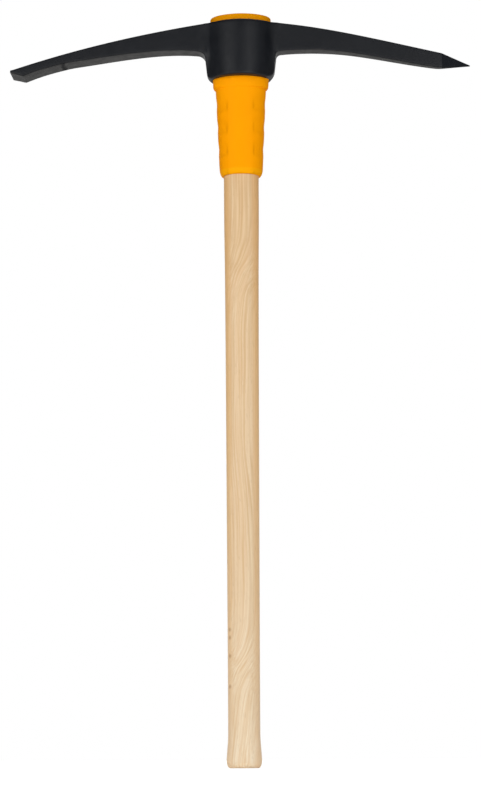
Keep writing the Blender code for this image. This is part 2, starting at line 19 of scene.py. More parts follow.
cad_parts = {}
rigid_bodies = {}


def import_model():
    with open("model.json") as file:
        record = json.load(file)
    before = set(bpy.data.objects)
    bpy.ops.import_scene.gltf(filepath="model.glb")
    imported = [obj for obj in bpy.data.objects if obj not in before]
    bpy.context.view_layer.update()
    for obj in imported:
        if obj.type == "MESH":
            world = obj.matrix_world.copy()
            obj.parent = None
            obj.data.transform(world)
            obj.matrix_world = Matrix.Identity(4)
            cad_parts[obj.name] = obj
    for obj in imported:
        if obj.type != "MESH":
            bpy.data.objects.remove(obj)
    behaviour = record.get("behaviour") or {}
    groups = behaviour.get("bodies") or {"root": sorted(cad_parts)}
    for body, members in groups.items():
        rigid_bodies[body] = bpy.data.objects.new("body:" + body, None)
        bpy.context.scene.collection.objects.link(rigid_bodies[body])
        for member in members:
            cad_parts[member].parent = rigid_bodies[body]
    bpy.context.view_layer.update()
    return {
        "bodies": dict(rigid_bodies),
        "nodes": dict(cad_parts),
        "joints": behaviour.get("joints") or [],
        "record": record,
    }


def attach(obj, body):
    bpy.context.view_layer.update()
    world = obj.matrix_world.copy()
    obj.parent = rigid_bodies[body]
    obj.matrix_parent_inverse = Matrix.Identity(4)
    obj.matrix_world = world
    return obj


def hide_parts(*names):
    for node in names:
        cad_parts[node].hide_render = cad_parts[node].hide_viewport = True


LOG = logging.getLogger("clay_pick")
MILLIMETRE = 0.001
WELD_DISTANCE = 0.01 * MILLIMETRE
WHITE = (1.0, 1.0, 1.0, 1.0)
# Values of a noise between which the edges of its clouds lie.
CLOUD_EDGES = (0.3, 0.7)
# Settings of a Map Range node that eases in and out.
EASED = {"interpolation_type": "SMOOTHSTEP"}


class Body(Enum):
    """The two rigid bodies of the part."""

    HEAD = "head"
    HANDLE = "handle"


class Stretch(Enum):
    """Which way a pattern is drawn out, as its scale along X, Y and Z."""

    EVEN = (1.0, 1.0, 1.0)
    LONG_FIBRES = (1.0, 1.0, 0.022)
    SHORT_DASHES = (1.0, 1.0, 0.09)


def linear(hex_colour: str) -> tuple[float, float, float, float]:
    """Turn an sRGB hex colour to linear light.

    Args:
        hex_colour: Six hex digits, without a mark in front.

    Returns:
        Red, green, blue and an alpha of 1.
    """
    parts = [int(hex_colour[i:i + 2], 16) / 255 for i in (0, 2, 4)]
    # The sRGB curve is straight near black and a power above that.
    light = [p / 12.92 if p <= 0.04045 else ((p + 0.055) / 1.055) ** 2.4 for p in parts]
    return (light[0], light[1], light[2], 1.0)


def fill_sockets(
    tree: bpy.types.NodeTree, node: bpy.types.Node, inputs: dict[str | int, object],
) -> None:
    """Set or link the inputs of a node.

    Args:
        tree: Node tree that holds the node.
        node: The node.
        inputs: Sockets by name or number, each with a value or a socket to link from.
    """
    for name, value in inputs.items():
        if isinstance(value, bpy.types.NodeSocket):
            tree.links.new(value, node.inputs[name])
        else:
            node.inputs[name].default_value = value


def add_node(
    tree: bpy.types.NodeTree,
    kind: str,
    settings: dict[str, object] | None = None,
    inputs: dict[str | int, object] | None = None,
    stops: tuple[tuple[float, object], ...] = (),
    out: str | int = 0,
) -> bpy.types.NodeSocket | None:
    """Add a node with its settings and links.

    Args:
        tree: Node tree that takes the node.
        kind: Blender's name for the node's type.
        settings: Properties of the node and their values.
        inputs: Sockets by name or number, each with a value or a socket to link from.
        stops: Places from 0 to 1 on a ramp or curve, each with its hex colour or height.
        out: Name or number of the output that is wanted.

    Returns:
        That output, or nothing for a node that ends a tree.
    """
    node = tree.nodes.new(kind)
    for name, value in (settings or {}).items():
        setattr(node, name, value)
    fill_sockets(tree, node, inputs or {})
    if hasattr(node, "color_ramp"):
        elements = node.color_ramp.elements
        while len(elements) < len(stops):
            elements.new(1.0)
        for element, (place, colour) in zip(elements, stops):
            element.position = place
            element.color = linear(colour)
    elif stops:
        points = node.mapping.curves[0].points
        points[0].location, points[1].location = stops[0], stops[-1]
        for stop in stops[1:-1]:
            points.new(*stop)
        node.mapping.update()
    return node.outputs[out] if len(node.outputs) else None


def laid_over(
    tree: bpy.types.NodeTree, *layers: tuple[bpy.types.NodeSocket, float],
) -> bpy.types.NodeSocket:
    """Lay patterns over one another, each at its own strength.

    Args:
        tree: Node tree that takes the nodes.
        layers: Patterns, each with its strength.

    Returns:
        The sum of the layers.
    """
    total: object = 0.0
    for pattern, strength in layers:
        total = add_node(tree, "ShaderNodeMath", {"operation": "MULTIPLY_ADD"},
                         {0: pattern, 1: strength, 2: total})
    return total


def between(ends: tuple[float, float]) -> dict[str, float]:
    """Name the two values between which a Map Range node works.

    Args:
        ends: The value at which it starts and the value at which it is full.

    Returns:
        Both values by the names of their sockets.
    """
    return {"From Min": ends[0], "From Max": ends[1]}


@dataclass(frozen=True)
class Ruler:
    """Coordinates on a piece, from which patterns take real sizes."""

    tree: bpy.types.NodeTree
    place: bpy.types.NodeSocket
    stretch: Stretch = Stretch.EVEN

    def marks(self, size_mm: float, shift: float = 0.0) -> bpy.types.NodeSocket:
        """Measure the piece in units of one size.

        Args:
            size_mm: Length of a unit, which is the width of a cloud in a noise of scale 1.
            shift: Units that the pattern is moved by, so that no two match.

        Returns:
            Coordinates in those units.
        """
        scale = tuple(share / (size_mm * MILLIMETRE) for share in self.stretch.value)
        return add_node(self.tree, "ShaderNodeMapping", {"vector_type": "POINT"},
                        {"Vector": self.place, "Location": (shift,) * 3, "Scale": scale})


@dataclass(frozen=True)
class Finish:
    """A real material, and how its surface was made."""

    title: str = "plain"

    def build(self) -> bpy.types.Material:
        """Make the material.

        Returns:
            The material, with its nodes.
        """
        material = bpy.data.materials.new(self.title)
        material.use_nodes = True
        tree = material.node_tree
        self.dress(tree, tree.nodes["Principled BSDF"])
        return material

    def dress(self, tree: bpy.types.NodeTree, shader: bpy.types.Node) -> None:
        """Fill the shader's sockets.

        Args:
            tree: Node tree of the material.
            shader: Its Principled shader.

        Raises:
            NotImplementedError: Always here, because each finish has its own way.
        """
        raise NotImplementedError


@dataclass(frozen=True)
class PowderCoatedForging(Finish):
    """Forged carbon steel under a black powder coat.

    The hammer leaves faces that are flat but never quite true, and the baked powder lies on
    them as a satin skin with a fine orange peel. Along the edges the coat is painted a little
    paler, partly where the powder runs thin and partly as a painted highlight of the edges
    catching the light. The ground facets of the point were left rough under the coat, so they
    look duller and darker.
    """

    title: str = "powder_coated_forged_steel"
    coat: str = "0c0f15"
    coat_pale: str = "0f1218"
    patch_mm: float = 34.0
    patch_edges: tuple[float, float] = (0.35, 0.65)
    # Paler tone on the pointed edges: partly thin powder, partly a painted edge highlight.
    edge: str = "292929"
    # How pointed the surface is where the edge tone begins and is full. Flat is 0.5.
    edge_pointed: tuple[float, float] = (0.53, 0.62)
    edge_share: float = 0.6
    ior: float = 1.34
    roughness: float = 0.48
    satin_mm: float = 9.0
    satin_swing: tuple[float, float] = (-0.04, 0.05)
    ground_roughness: float = 0.45
    ground_from_x: float = 0.2466
    ground_line: float = 0.0008
    forge_wave_mm: float = 22.0
    forge_wave_depth_mm: float = 0.16
    # Real peel is about 0.8 mm across. It is drawn at twice that to show at all.
    peel_mm: float = 1.6
    peel_depth_mm: float = 0.022
    # The powder lies thick and dull in the hollows where the arms meet the boss.
    hollow_roughness: float = 0.2
    hollow_x: tuple[float, float, float, float] = (0.036, 0.042, 0.046, 0.053)
    hollow_z: tuple[float, float] = (0.870, 0.888)
    # Where the blade was drawn out a fold crosses its underside.
    crease_x: float = -0.2185
    crease_reach: float = 0.0042
    crease_depth_mm: float = 0.8
    crease_roughness: float = 0.35
    # How far the fold strays from straight, and how wide its bends are.
    crease_bend: float = 0.006
    crease_bend_mm: float = 9.0
    # How far down a face looks where the underside begins and is full.
    underside: tuple[float, float] = (-0.3, -0.7)

    def dress(self, tree: bpy.types.NodeTree, shader: bpy.types.Node) -> None:
        """Fill the shader's sockets.

        Args:
            tree: Node tree of the material.
            shader: Its Principled shader.
        """
        place = add_node(tree, "ShaderNodeTexCoord", out="Object")
        along = add_node(tree, "ShaderNodeSeparateXYZ", inputs={"Vector": place}, out="X")
        ruler = Ruler(tree, place)
        patches = add_node(tree, "ShaderNodeTexNoise",
                           inputs={"Vector": ruler.marks(self.patch_mm), "Scale": 1.0,
                                   "Detail": 3.0})
        coat = add_node(tree, "ShaderNodeValToRGB", inputs={"Fac": patches},
                        stops=tuple(zip(self.patch_edges, (self.coat, self.coat_pale))))
        sharpness = add_node(tree, "ShaderNodeNewGeometry", out="Pointiness")
        # Painted edge highlight, together with the thinner powder, laid along the pointed edges.
        thin_coat_and_highlight = add_node(tree, "ShaderNodeMapRange", EASED,
                        {"Value": sharpness, **between(self.edge_pointed),
                         "To Max": self.edge_share})
        colour = add_node(tree, "ShaderNodeMix", {"data_type": "RGBA"},
                          {"Factor": thin_coat_and_highlight, "A": coat, "B": linear(self.edge)}, out="Result")
        crease = self._crease(tree, ruler, along)
        fill_sockets(tree, shader, {
            "Base Color": colour,
            "Roughness": self._satin(tree, ruler, along, crease),
            "IOR": self.ior,
            "Normal": self._relief(tree, ruler, crease),
        })

    def _crease(
        self, tree: bpy.types.NodeTree, ruler: Ruler, along: bpy.types.NodeSocket,
    ) -> bpy.types.NodeSocket:
        """Draw the fold across the blade's underside.

        Args:
            tree: Node tree that takes the nodes.
            ruler: Coordinates for patterns.
            along: Place along the head.

        Returns:
            One in the fold and nothing elsewhere.
        """
        wander = add_node(tree, "ShaderNodeTexNoise",
                          inputs={"Vector": ruler.marks(self.crease_bend_mm, shift=3.1),
                                  "Scale": 1.0, "Detail": 1.0})
        bent = laid_over(tree, (along, 1.0), (wander, self.crease_bend))
        aside = add_node(tree, "ShaderNodeMath", {"operation": "SUBTRACT"},
                         {0: bent, 1: self.crease_x + self.crease_bend / 2})
        gap = add_node(tree, "ShaderNodeMath", {"operation": "ABSOLUTE"}, {0: aside})
        fold = add_node(tree, "ShaderNodeMapRange", EASED,
                        {"Value": gap, "From Min": self.crease_reach, "From Max": 0.0})
        facing = add_node(tree, "ShaderNodeTexCoord", out="Normal")
        down = add_node(tree, "ShaderNodeSeparateXYZ", inputs={"Vector": facing}, out="Z")
        under = add_node(tree, "ShaderNodeMapRange", EASED,
                         {"Value": down, **between(self.underside)})
        return add_node(tree, "ShaderNodeMath", {"operation": "MULTIPLY"}, {0: fold, 1: under})

    def _satin(
        self, tree: bpy.types.NodeTree, ruler: Ruler, along: bpy.types.NodeSocket,
        crease: bpy.types.NodeSocket,
    ) -> bpy.types.NodeSocket:
        """Vary the shine of the coat.

        Args:
            tree: Node tree that takes the nodes.
            ruler: Coordinates for patterns.
            along: Place along the head.
            crease: The fold under the blade, which the powder leaves dull.

        Returns:
            The roughness.
        """
        clouds = add_node(tree, "ShaderNodeTexNoise",
                          inputs={"Vector": ruler.marks(self.satin_mm, shift=33.0),
                                  "Scale": 1.0})
        satin = add_node(tree, "ShaderNodeMapRange", EASED,
                         {"Value": clouds, **between(CLOUD_EDGES),
                          "To Min": self.roughness + self.satin_swing[0],
                          "To Max": self.roughness + self.satin_swing[1]})
        ground = add_node(tree, "ShaderNodeMapRange", EASED,
                          {"Value": along, "From Min": self.ground_from_x,
                           "From Max": self.ground_from_x + self.ground_line})
        return laid_over(tree, (satin, 1.0), (ground, self.ground_roughness),
                         (crease, self.crease_roughness),
                         (self._hollows(tree, ruler), self.hollow_roughness))

    def _hollows(self, tree: bpy.types.NodeTree, ruler: Ruler) -> bpy.types.NodeSocket:
        """Mark the upright hollows between the arms and the boss.

        Args:
            tree: Node tree that takes the nodes.
            ruler: Coordinates for patterns.

        Returns:
            One in the hollows and nothing elsewhere.
        """
        split = add_node(tree, "ShaderNodeSeparateXYZ", inputs={"Vector": ruler.place}).node
        aside = add_node(tree, "ShaderNodeMath", {"operation": "ABSOLUTE"},
                         {0: split.outputs["X"]})
        start, full, still_full, end = self.hollow_x
        mark: object = 1.0
        for reach, low, high in ((aside, start, full), (aside, end, still_full),
                                 (split.outputs["Z"], *self.hollow_z)):
            band = add_node(tree, "ShaderNodeMapRange", EASED,
                            {"Value": reach, "From Min": low, "From Max": high})
            mark = add_node(tree, "ShaderNodeMath", {"operation": "MULTIPLY"}, {0: band, 1: mark})
        return mark

    def _relief(
        self, tree: bpy.types.NodeTree, ruler: Ruler, crease: bpy.types.NodeSocket,
    ) -> bpy.types.NodeSocket:
        """Raise the hammered faces, the orange peel on them and the fold.

        Args:
            tree: Node tree that takes the nodes.
            ruler: Coordinates for patterns.
            crease: The fold under the blade.

        Returns:
            The normal.
        """
        waves = add_node(tree, "ShaderNodeTexNoise",
                         inputs={"Vector": ruler.marks(self.forge_wave_mm, shift=4.5),
                                 "Scale": 1.0})
        peel = add_node(tree, "ShaderNodeTexNoise",
                        inputs={"Vector": ruler.marks(self.peel_mm), "Scale": 1.0, "Detail": 1.0})
        hollow = add_node(tree, "ShaderNodeMath", {"operation": "SUBTRACT"}, {0: 1.0, 1: crease})
        under: dict[str, object] = {}
        for height, depth_mm in ((waves, self.forge_wave_depth_mm),
                                 (hollow, self.crease_depth_mm), (peel, self.peel_depth_mm)):
            under = {"Normal": add_node(tree, "ShaderNodeBump", inputs={
                "Height": height, "Distance": depth_mm * MILLIMETRE, **under})}
        return under["Normal"]


@dataclass(frozen=True)
class MouldedPolymer(Finish):
    """Amber polymer from a spark-eroded mould.

    It is matt but clean: a fine even grain breaks up the shine, and the colour is through and
    through. The flanks lie a hair lower than the smooth panels and dip at the finger notches,
    and a fine seam runs down each side. The cap above the head is painted a darker amber as
    painted shade, and the lower rim a paler amber as painted light.
    """

    title: str = "spark_grained_amber_polymer"
    colour: str = "ffa200"
    colour_deep: str = "ffa000"
    # Painted shade: the cap above the head is coloured darker for the shade that falls on it.
    cap_shade_tone: str = "d98b00"
    # Painted light: the rolled lower rim is coloured paler for the light it catches.
    rim_light_tone: str = "ffaa04"
    cloud_mm: float = 26.0
    ior: float = 1.48
    specular: float = 0.03
    roughness: float = 0.55
    cap_from_z: float = 0.9062
    cap_fade: float = 0.004
    rim_to_z: float = 0.7215
    rim_fade: float = 0.001
    # Spark-eroded grain is about 0.15 mm. It is drawn coarser to show.
    grain_mm: float = 0.9
    grain_depth_mm: float = 0.008
    notch_foot_z: float = 0.7345
    notch_pitch: float = 0.0283
    notch_top_z: float = 0.808
    notch_fade: float = 0.007
    # Shares of the pitch at which a notch is deepest and at which it ends.
    notch_shape: tuple[float, float] = (0.21, 0.65)
    # Shares of the panels' height by which a notch dips, and the flanks lie low all over.
    notch_share: float = 0.9
    flank_share: float = 0.1
    panel_half: float = 0.0146
    panel_step: float = 0.0030
    panel_depth_mm: float = 1.1
    seam_half: float = 0.0004
    seam_depth_mm: float = 0.12

    def dress(self, tree: bpy.types.NodeTree, shader: bpy.types.Node) -> None:
        """Fill the shader's sockets.

        Args:
            tree: Node tree of the material.
            shader: Its Principled shader.
        """
        place = add_node(tree, "ShaderNodeTexCoord", out="Object")
        ruler = Ruler(tree, place)
        fill_sockets(tree, shader, {
            "Base Color": self._colour(tree, ruler),
            "Roughness": self.roughness,
            "IOR": self.ior,
            "Specular IOR Level": self.specular,
            "Normal": self._relief(tree, ruler),
        })

    def _colour(self, tree: bpy.types.NodeTree, ruler: Ruler) -> bpy.types.NodeSocket:
        """Colour the guard, with painted light on its lower rim and painted shade on its cap.

        Args:
            tree: Node tree that takes the nodes.
            ruler: Coordinates for patterns.

        Returns:
            The colour.
        """
        clouds = add_node(tree, "ShaderNodeTexNoise",
                          inputs={"Vector": ruler.marks(self.cloud_mm), "Scale": 1.0})
        colour = add_node(tree, "ShaderNodeValToRGB", inputs={"Fac": clouds},
                          stops=tuple(zip(CLOUD_EDGES, (self.colour_deep, self.colour))))
        height = add_node(tree, "ShaderNodeSeparateXYZ", inputs={"Vector": ruler.place}, out="Z")
        # Painted light on the lower rim, then painted shade on the cap.
        for start, end, tone in (
            (self.rim_to_z, self.rim_to_z - self.rim_fade, self.rim_light_tone),
            (self.cap_from_z - self.cap_fade, self.cap_from_z, self.cap_shade_tone),
        ):
            band = add_node(tree, "ShaderNodeMapRange", EASED,
                            {"Value": height, "From Min": start, "From Max": end})
            colour = add_node(tree, "ShaderNodeMix", {"data_type": "RGBA"},
                              {"Factor": band, "A": colour, "B": linear(tone)}, out="Result")
        return colour

    def _relief(self, tree: bpy.types.NodeTree, ruler: Ruler) -> bpy.types.NodeSocket:
        """Raise the panels, the seams and the grain of the mould.

        Args:
            tree: Node tree that takes the nodes.
            ruler: Coordinates for patterns.

        Returns:
            The normal.
        """
        split = add_node(tree, "ShaderNodeSeparateXYZ", inputs={"Vector": ruler.place}).node
        across = add_node(tree, "ShaderNodeMath", {"operation": "ABSOLUTE"},
                          {0: split.outputs["X"]})
        flank = add_node(tree, "ShaderNodeMapRange", EASED,
                         {"Value": across, "From Min": self.panel_half,
                          "From Max": self.panel_half + self.panel_step})
        lowered = add_node(tree, "ShaderNodeMath", {"operation": "MULTIPLY"},
                           {0: flank, 1: self._notches(tree, split.outputs["Z"])})
        panel = add_node(tree, "ShaderNodeMath", {"operation": "SUBTRACT"}, {0: 1.0, 1: lowered})
        beside = add_node(tree, "ShaderNodeMath", {"operation": "ABSOLUTE"},
                          {0: split.outputs["Y"]})
        seam = add_node(tree, "ShaderNodeMapRange", EASED,
                        {"Value": beside, "From Min": self.seam_half, "From Max": 0.0})
        grain = add_node(tree, "ShaderNodeTexNoise",
                         inputs={"Vector": ruler.marks(self.grain_mm), "Scale": 1.0,
                                 "Detail": 1.0})
        under: dict[str, object] = {}
        for raised, depth_mm in ((panel, self.panel_depth_mm), (seam, self.seam_depth_mm),
                                 (grain, self.grain_depth_mm)):
            under = {"Normal": add_node(tree, "ShaderNodeBump", inputs={
                "Height": raised, "Distance": depth_mm * MILLIMETRE, **under})}
        return under["Normal"]

    def _notches(
        self, tree: bpy.types.NodeTree, height: bpy.types.NodeSocket,
    ) -> bpy.types.NodeSocket:
        """Mark the finger notches down the flanks.

        Args:
            tree: Node tree that takes the nodes.
            height: Place up the collar.

        Returns:
            One at each notch, a little between them and nothing above the guard.
        """
        pitches = add_node(tree, "ShaderNodeMath", {"operation": "MULTIPLY_ADD"},
                           {0: height, 1: 1.0 / self.notch_pitch,
                            2: -self.notch_foot_z / self.notch_pitch})
        share = add_node(tree, "ShaderNodeMath", {"operation": "FRACT"}, {0: pitches})
        deepest, end = self.notch_shape
        foot = add_node(tree, "ShaderNodeMapRange", EASED,
                        {"Value": share, "From Min": 0.0, "From Max": deepest})
        slope = add_node(tree, "ShaderNodeMapRange", EASED,
                         {"Value": share, "From Min": end, "From Max": deepest})
        notch = add_node(tree, "ShaderNodeMath", {"operation": "MULTIPLY"}, {0: foot, 1: slope})
        flank = add_node(tree, "ShaderNodeMath", {"operation": "MULTIPLY_ADD"},
                         {0: notch, 1: self.notch_share, 2: self.flank_share})
        guard = add_node(tree, "ShaderNodeMapRange", EASED,
                         {"Value": height, "From Min": self.notch_top_z + self.notch_fade,
                          "From Max": self.notch_top_z})
        return add_node(tree, "ShaderNodeMath", {"operation": "MULTIPLY"}, {0: flank, 1: guard})


@dataclass(frozen=True)
class LacqueredHickory(Finish):
    """Hickory, sawn along the log, turned, sanded and lacquered.

    The grain runs down the shaft as fine soft streaks of low contrast. It swings aside at two
    heights, where the log had grown round a branch, and the streaks slant there. Year rings
    show as fainter, wider bands and pores as short dark dashes. The sides of the shaft carry
    painted light, lighter and warmer than its front and palest near the butt, which evens out
    the shade that falls off round the shaft. The ends soak up lacquer and are darker.
    """

    title: str = "lacquered_hickory"
    early_wood: str = "e5c9a0"
    late_wood: str = "d1ab7d"
    early_wood_low: str = "fff3dd"
    late_wood_low: str = "eed2ab"
    shade_edges: tuple[float, float] = (0.4, 1.0)
    warm_stripe: str = "e0b98d"
    stripe_mm: float = 11.0
    stripe_edges: tuple[float, float] = (0.45, 0.7)
    stripe_share: float = 0.35
    # Painted light on the sides of the shaft, lighter and warmer to even out the shade round it
    # and palest near the butt, at shares of the height from the butt up.
    side_light_tones: tuple[tuple[float, str], ...] = (
        (0.03, "fbdcb6"), (0.16, "fad5a6"), (0.46, "f5c98f"), (0.77, "e9b779"),
    )
    # How far sideways a face looks where the sides' painted light begins and is full.
    side_light_edges: tuple[float, float] = (0.55, 0.95)
    side_light_share: float = 0.8
    # How far up or down a face looks where the tone of the sawn ends begins and is full.
    end_edges: tuple[float, float] = (0.75, 0.95)
    end_share: float = 0.6
    end_grain: str = "c69c6b"
    pore: str = "a67c4c"
    pore_mm: float = 0.7
    pore_edges: tuple[float, float] = (0.62, 0.76)
    pore_share: float = 0.15
    # Where late wood reaches the first number, pores keep only the second of their strength.
    pores_in_late_wood: tuple[float, float] = (0.6, 0.3)
    pin_mark: str = "a8703a"
    pin_share: float = 0.55
    fibre_mm: float = 0.9
    streak_mm: float = 2.2
    pith: tuple[float, float] = (-0.085, 0.045)
    ring_mm: float = 3.6
    # Years by which a ring strays, and the width of its bends.
    ring_stray: float = 2.4
    ring_stray_mm: float = 9.0
    # Parts of a year at which late wood begins and is full, and the same back from its end.
    late_start: tuple[float, float] = (0.2, 0.85)
    late_stop: tuple[float, float] = (1.0, 0.9)
    ring_patch_mm: float = 7.0
    ring_patch_edges: tuple[float, float] = (0.35, 0.65)
    faintest_ring: float = 0.2
    ring_share: float = 0.25
    fibre_share: float = 0.35
    # How far the grain wanders, and how many of its waves go into a metre each way.
    wander_mm: float = 7.0
    wander_per_metre: tuple[float, float, float] = (22.0, 22.0, 9.0)
    ior: float = 1.5
    specular: float = 0.2
    roughness: float = 0.42
    relief_mm: float = 0.03
    fibre_relief: float = 0.6
    pore_relief: float = -2.0
    shaft_length: float = 0.9144
    # Share of the pale tone at heights from the butt up.
    paleness: tuple[tuple[float, float], ...] = (
        (0.0, 0.82), (0.046, 0.70), (0.143, 0.56), (0.264, 0.30), (0.446, 0.27),
        (0.720, 0.02), (0.9144, 0.0),
    )
    # Sideways drift of the grain, in millimetres, at heights from the butt up.
    run_reach_mm: tuple[float, float] = (-70.0, 10.0)
    run: tuple[tuple[float, float], ...] = (
        (0.0, -68.0), (0.080, -60.0), (0.100, -54.0), (0.155, -28.0), (0.180, -24.0),
        (0.216, -22.0), (0.410, -31.0), (0.500, -31.0), (0.550, -28.5), (0.583, -19.5),
        (0.618, -5.0), (0.655, 1.5), (0.723, 0.5), (0.9144, 2.0),
    )
    # Buried twigs that the turning just met, on the left side near the butt.
    pins: tuple[tuple[float, float, float], ...] = (
        (-0.0160, -0.0094, 0.1620), (-0.0160, -0.0094, 0.1525),
        (-0.0160, -0.0094, 0.1310), (-0.0161, -0.0094, 0.0950),
    )
    pin_reach: float = 0.0040

    def dress(self, tree: bpy.types.NodeTree, shader: bpy.types.Node) -> None:
        """Fill the shader's sockets.

        Args:
            tree: Node tree of the material.
            shader: Its Principled shader.
        """
        place = add_node(tree, "ShaderNodeTexCoord", out="Object")
        grain = self._grain(tree, place)
        ruler = Ruler(tree, grain, Stretch.LONG_FIBRES)
        rings = self._rings(tree, ruler)
        fibres = add_node(tree, "ShaderNodeTexNoise",
                          inputs={"Vector": ruler.marks(self.fibre_mm, shift=7.0),
                                  "Scale": 1.0, "Detail": 3.0})
        streaks = add_node(tree, "ShaderNodeTexNoise",
                           inputs={"Vector": ruler.marks(self.streak_mm, shift=19.0),
                                   "Scale": 1.0})
        shade = laid_over(tree, (rings, self.ring_share), (fibres, self.fibre_share),
                          (streaks, 1.0))
        pores = self._pores(tree, grain, rings)
        fill_sockets(tree, shader, {
            "Base Color": self._colour(tree, place, ruler, shade, pores),
            "Roughness": self.roughness,
            "IOR": self.ior,
            "Specular IOR Level": self.specular,
            "Normal": add_node(tree, "ShaderNodeBump", inputs={
                "Height": laid_over(tree, (fibres, self.fibre_relief),
                                    (pores, self.pore_relief)),
                "Distance": self.relief_mm * MILLIMETRE}),
        })

    def _grain(
        self, tree: bpy.types.NodeTree, place: bpy.types.NodeSocket,
    ) -> bpy.types.NodeSocket:
        """Bend the coordinates so that a straight line in them follows the grain.

        Args:
            tree: Node tree that takes the nodes.
            place: Place on the shaft.

        Returns:
            The bent coordinates.
        """
        low, high = self.run_reach_mm
        height = add_node(tree, "ShaderNodeSeparateXYZ", inputs={"Vector": place}, out="Z")
        share = add_node(tree, "ShaderNodeMath", {"operation": "DIVIDE"},
                         {0: height, 1: self.shaft_length})
        curve = add_node(tree, "ShaderNodeFloatCurve", inputs={"Value": share}, stops=tuple(
            (z / self.shaft_length, (drift - low) / (high - low)) for z, drift in self.run))
        drift = add_node(tree, "ShaderNodeMapRange", {"interpolation_type": "LINEAR"},
                         {"Value": curve, "To Min": -low * MILLIMETRE,
                          "To Max": -high * MILLIMETRE})
        slow = add_node(tree, "ShaderNodeMapping", {"vector_type": "POINT"},
                        {"Vector": place, "Scale": self.wander_per_metre})
        wander = add_node(tree, "ShaderNodeTexNoise",
                          inputs={"Vector": slow, "Scale": 1.0, "Detail": 1.0})
        aside = laid_over(tree, (drift, 1.0), (wander, self.wander_mm * MILLIMETRE))
        shift = add_node(tree, "ShaderNodeCombineXYZ", inputs={"X": aside})
        return add_node(tree, "ShaderNodeVectorMath", {"operation": "ADD"}, {0: place, 1: shift})

    def _rings(self, tree: bpy.types.NodeTree, ruler: Ruler) -> bpy.types.NodeSocket:
        """Draw year rings round a pith outside the shaft.

        Args:
            tree: Node tree that takes the nodes.
            ruler: Coordinates along the grain.

        Returns:
            From 0 in early wood to 1 in late wood.
        """
        split = add_node(tree, "ShaderNodeSeparateXYZ", inputs={"Vector": ruler.place}).node
        across = {
            axis: add_node(tree, "ShaderNodeMath", {"operation": "SUBTRACT"},
                           {0: split.outputs[axis], 1: middle})
            for axis, middle in zip("XY", self.pith)
        }
        flat = add_node(tree, "ShaderNodeCombineXYZ", inputs=across)
        radius = add_node(tree, "ShaderNodeVectorMath", {"operation": "LENGTH"}, {0: flat},
                          out="Value")
        uneven = add_node(tree, "ShaderNodeTexNoise",
                          inputs={"Vector": ruler.marks(self.ring_stray_mm, shift=11.0),
                                  "Scale": 1.0})
        years = laid_over(tree, (radius, 1.0 / (self.ring_mm * MILLIMETRE)),
                          (uneven, self.ring_stray))
        year = add_node(tree, "ShaderNodeMath", {"operation": "FRACT"}, {0: years})
        rise = add_node(tree, "ShaderNodeMapRange", EASED,
                        {"Value": year, **between(self.late_start)})
        fall = add_node(tree, "ShaderNodeMapRange", EASED,
                        {"Value": year, **between(self.late_stop)})
        late = add_node(tree, "ShaderNodeMath", {"operation": "MULTIPLY"}, {0: rise, 1: fall})
        strong = add_node(tree, "ShaderNodeTexNoise",
                          inputs={"Vector": ruler.marks(self.ring_patch_mm, shift=29.0),
                                  "Scale": 1.0})
        strength = add_node(tree, "ShaderNodeMapRange", EASED,
                            {"Value": strong, **between(self.ring_patch_edges),
                             "To Min": self.faintest_ring})
        return add_node(tree, "ShaderNodeMath", {"operation": "MULTIPLY"},
                        {0: late, 1: strength})

    def _pores(
        self, tree: bpy.types.NodeTree, grain: bpy.types.NodeSocket,
        rings: bpy.types.NodeSocket,
    ) -> bpy.types.NodeSocket:
        """Scatter pores as short dark dashes, most of them in the early wood.

        Args:
            tree: Node tree that takes the nodes.
            grain: Coordinates along the grain.
            rings: Early and late wood.

        Returns:
            From 0 beside the pores to their share in them.
        """
        ruler = Ruler(tree, grain, Stretch.SHORT_DASHES)
        dashes = add_node(tree, "ShaderNodeTexNoise",
                          inputs={"Vector": ruler.marks(self.pore_mm, shift=53.0),
                                  "Scale": 1.0, "Detail": 0.0})
        narrow = add_node(tree, "ShaderNodeMapRange", EASED,
                          {"Value": dashes, **between(self.pore_edges),
                           "To Max": self.pore_share})
        late, left = self.pores_in_late_wood
        early = add_node(tree, "ShaderNodeMapRange", EASED,
                         {"Value": rings, "From Max": late, "To Min": 1.0, "To Max": left})
        return add_node(tree, "ShaderNodeMath", {"operation": "MULTIPLY"},
                        {0: narrow, 1: early})

    def _colour(
        self, tree: bpy.types.NodeTree, place: bpy.types.NodeSocket, ruler: Ruler,
        shade: bpy.types.NodeSocket, pores: bpy.types.NodeSocket,
    ) -> bpy.types.NodeSocket:
        """Colour the streaks by their place on the shaft, then set the marks in them.

        Args:
            tree: Node tree that takes the nodes.
            place: Place on the shaft.
            ruler: Coordinates along the grain.
            shade: How dark the streaks are.
            pores: Where the pores are.

        Returns:
            The colour.
        """
        split = add_node(tree, "ShaderNodeSeparateXYZ", inputs={"Vector": place}).node
        up = add_node(tree, "ShaderNodeMath", {"operation": "DIVIDE"},
                      {0: split.outputs["Z"], 1: self.shaft_length})
        low = add_node(tree, "ShaderNodeFloatCurve", inputs={"Value": up}, stops=tuple(
            (z / self.shaft_length, share) for z, share in self.paleness))
        wood, wood_low = (
            add_node(tree, "ShaderNodeValToRGB", inputs={"Fac": shade},
                     stops=tuple(zip(self.shade_edges, (early, late))))
            for early, late in ((self.early_wood, self.late_wood),
                                (self.early_wood_low, self.late_wood_low))
        )
        stripes = add_node(tree, "ShaderNodeTexNoise",
                           inputs={"Vector": ruler.marks(self.stripe_mm, shift=2.0),
                                   "Scale": 1.0})
        warm = add_node(tree, "ShaderNodeMapRange", EASED,
                        {"Value": stripes, **between(self.stripe_edges),
                         "To Max": self.stripe_share})
